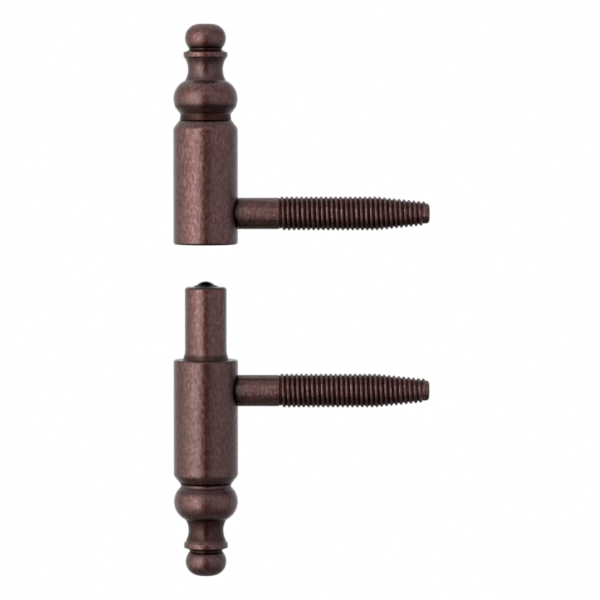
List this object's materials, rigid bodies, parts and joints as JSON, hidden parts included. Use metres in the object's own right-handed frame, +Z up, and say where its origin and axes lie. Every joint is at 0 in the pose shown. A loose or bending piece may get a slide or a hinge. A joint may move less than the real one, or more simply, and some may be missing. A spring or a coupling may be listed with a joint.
{
  "type": "lift-off barrel hinge",
  "caption": "Lift-off drill-in barrel hinge: two turned barrels with bulb and knob finials and side screws, joined by a pin with a bearing ball, in dark antique copper.",
  "frame": {"origin": "middle of the frame screw's shoulder, where the screw leaves the frame barrel", "axes": "+X along both screws towards their tips, +Z up along the pin axis from the frame half to the leaf half, +Y away from the viewer of the picture"},
  "size_m": [0.0525, 0.0132, 0.1133],
  "materials": {
    "antique_copper": "steel with a dark reddish brown antique copper finish, fine speckle, satin",
    "coppered_thread": "steel with the same antique copper finish, worn paler on the thread's crests",
    "dark_steel": "dark polished bearing steel"
  },
  "bodies": {
    "frame_half": {"frame_barrel": "antique_copper", "frame_finial": "antique_copper", "frame_screw": "coppered_thread", "hinge_pin": "antique_copper"},
    "ball": {"bearing_ball": "dark_steel"},
    "leaf_half": {"leaf_barrel": "antique_copper", "leaf_finial": "antique_copper", "leaf_screw": "coppered_thread"}
  },
  "joints": [
    {"name": "leaf_swing", "type": "hinge", "parent": "frame_half", "child": "ball", "pos_m": [-0.00667, 0, 0], "axis": [0, 0, 1], "continuous": true},
    {"name": "leaf_lift", "type": "slide", "parent": "ball", "child": "leaf_half", "axis": [0, 0, 1], "range_m": [-0.02335, 0]}
  ]
}
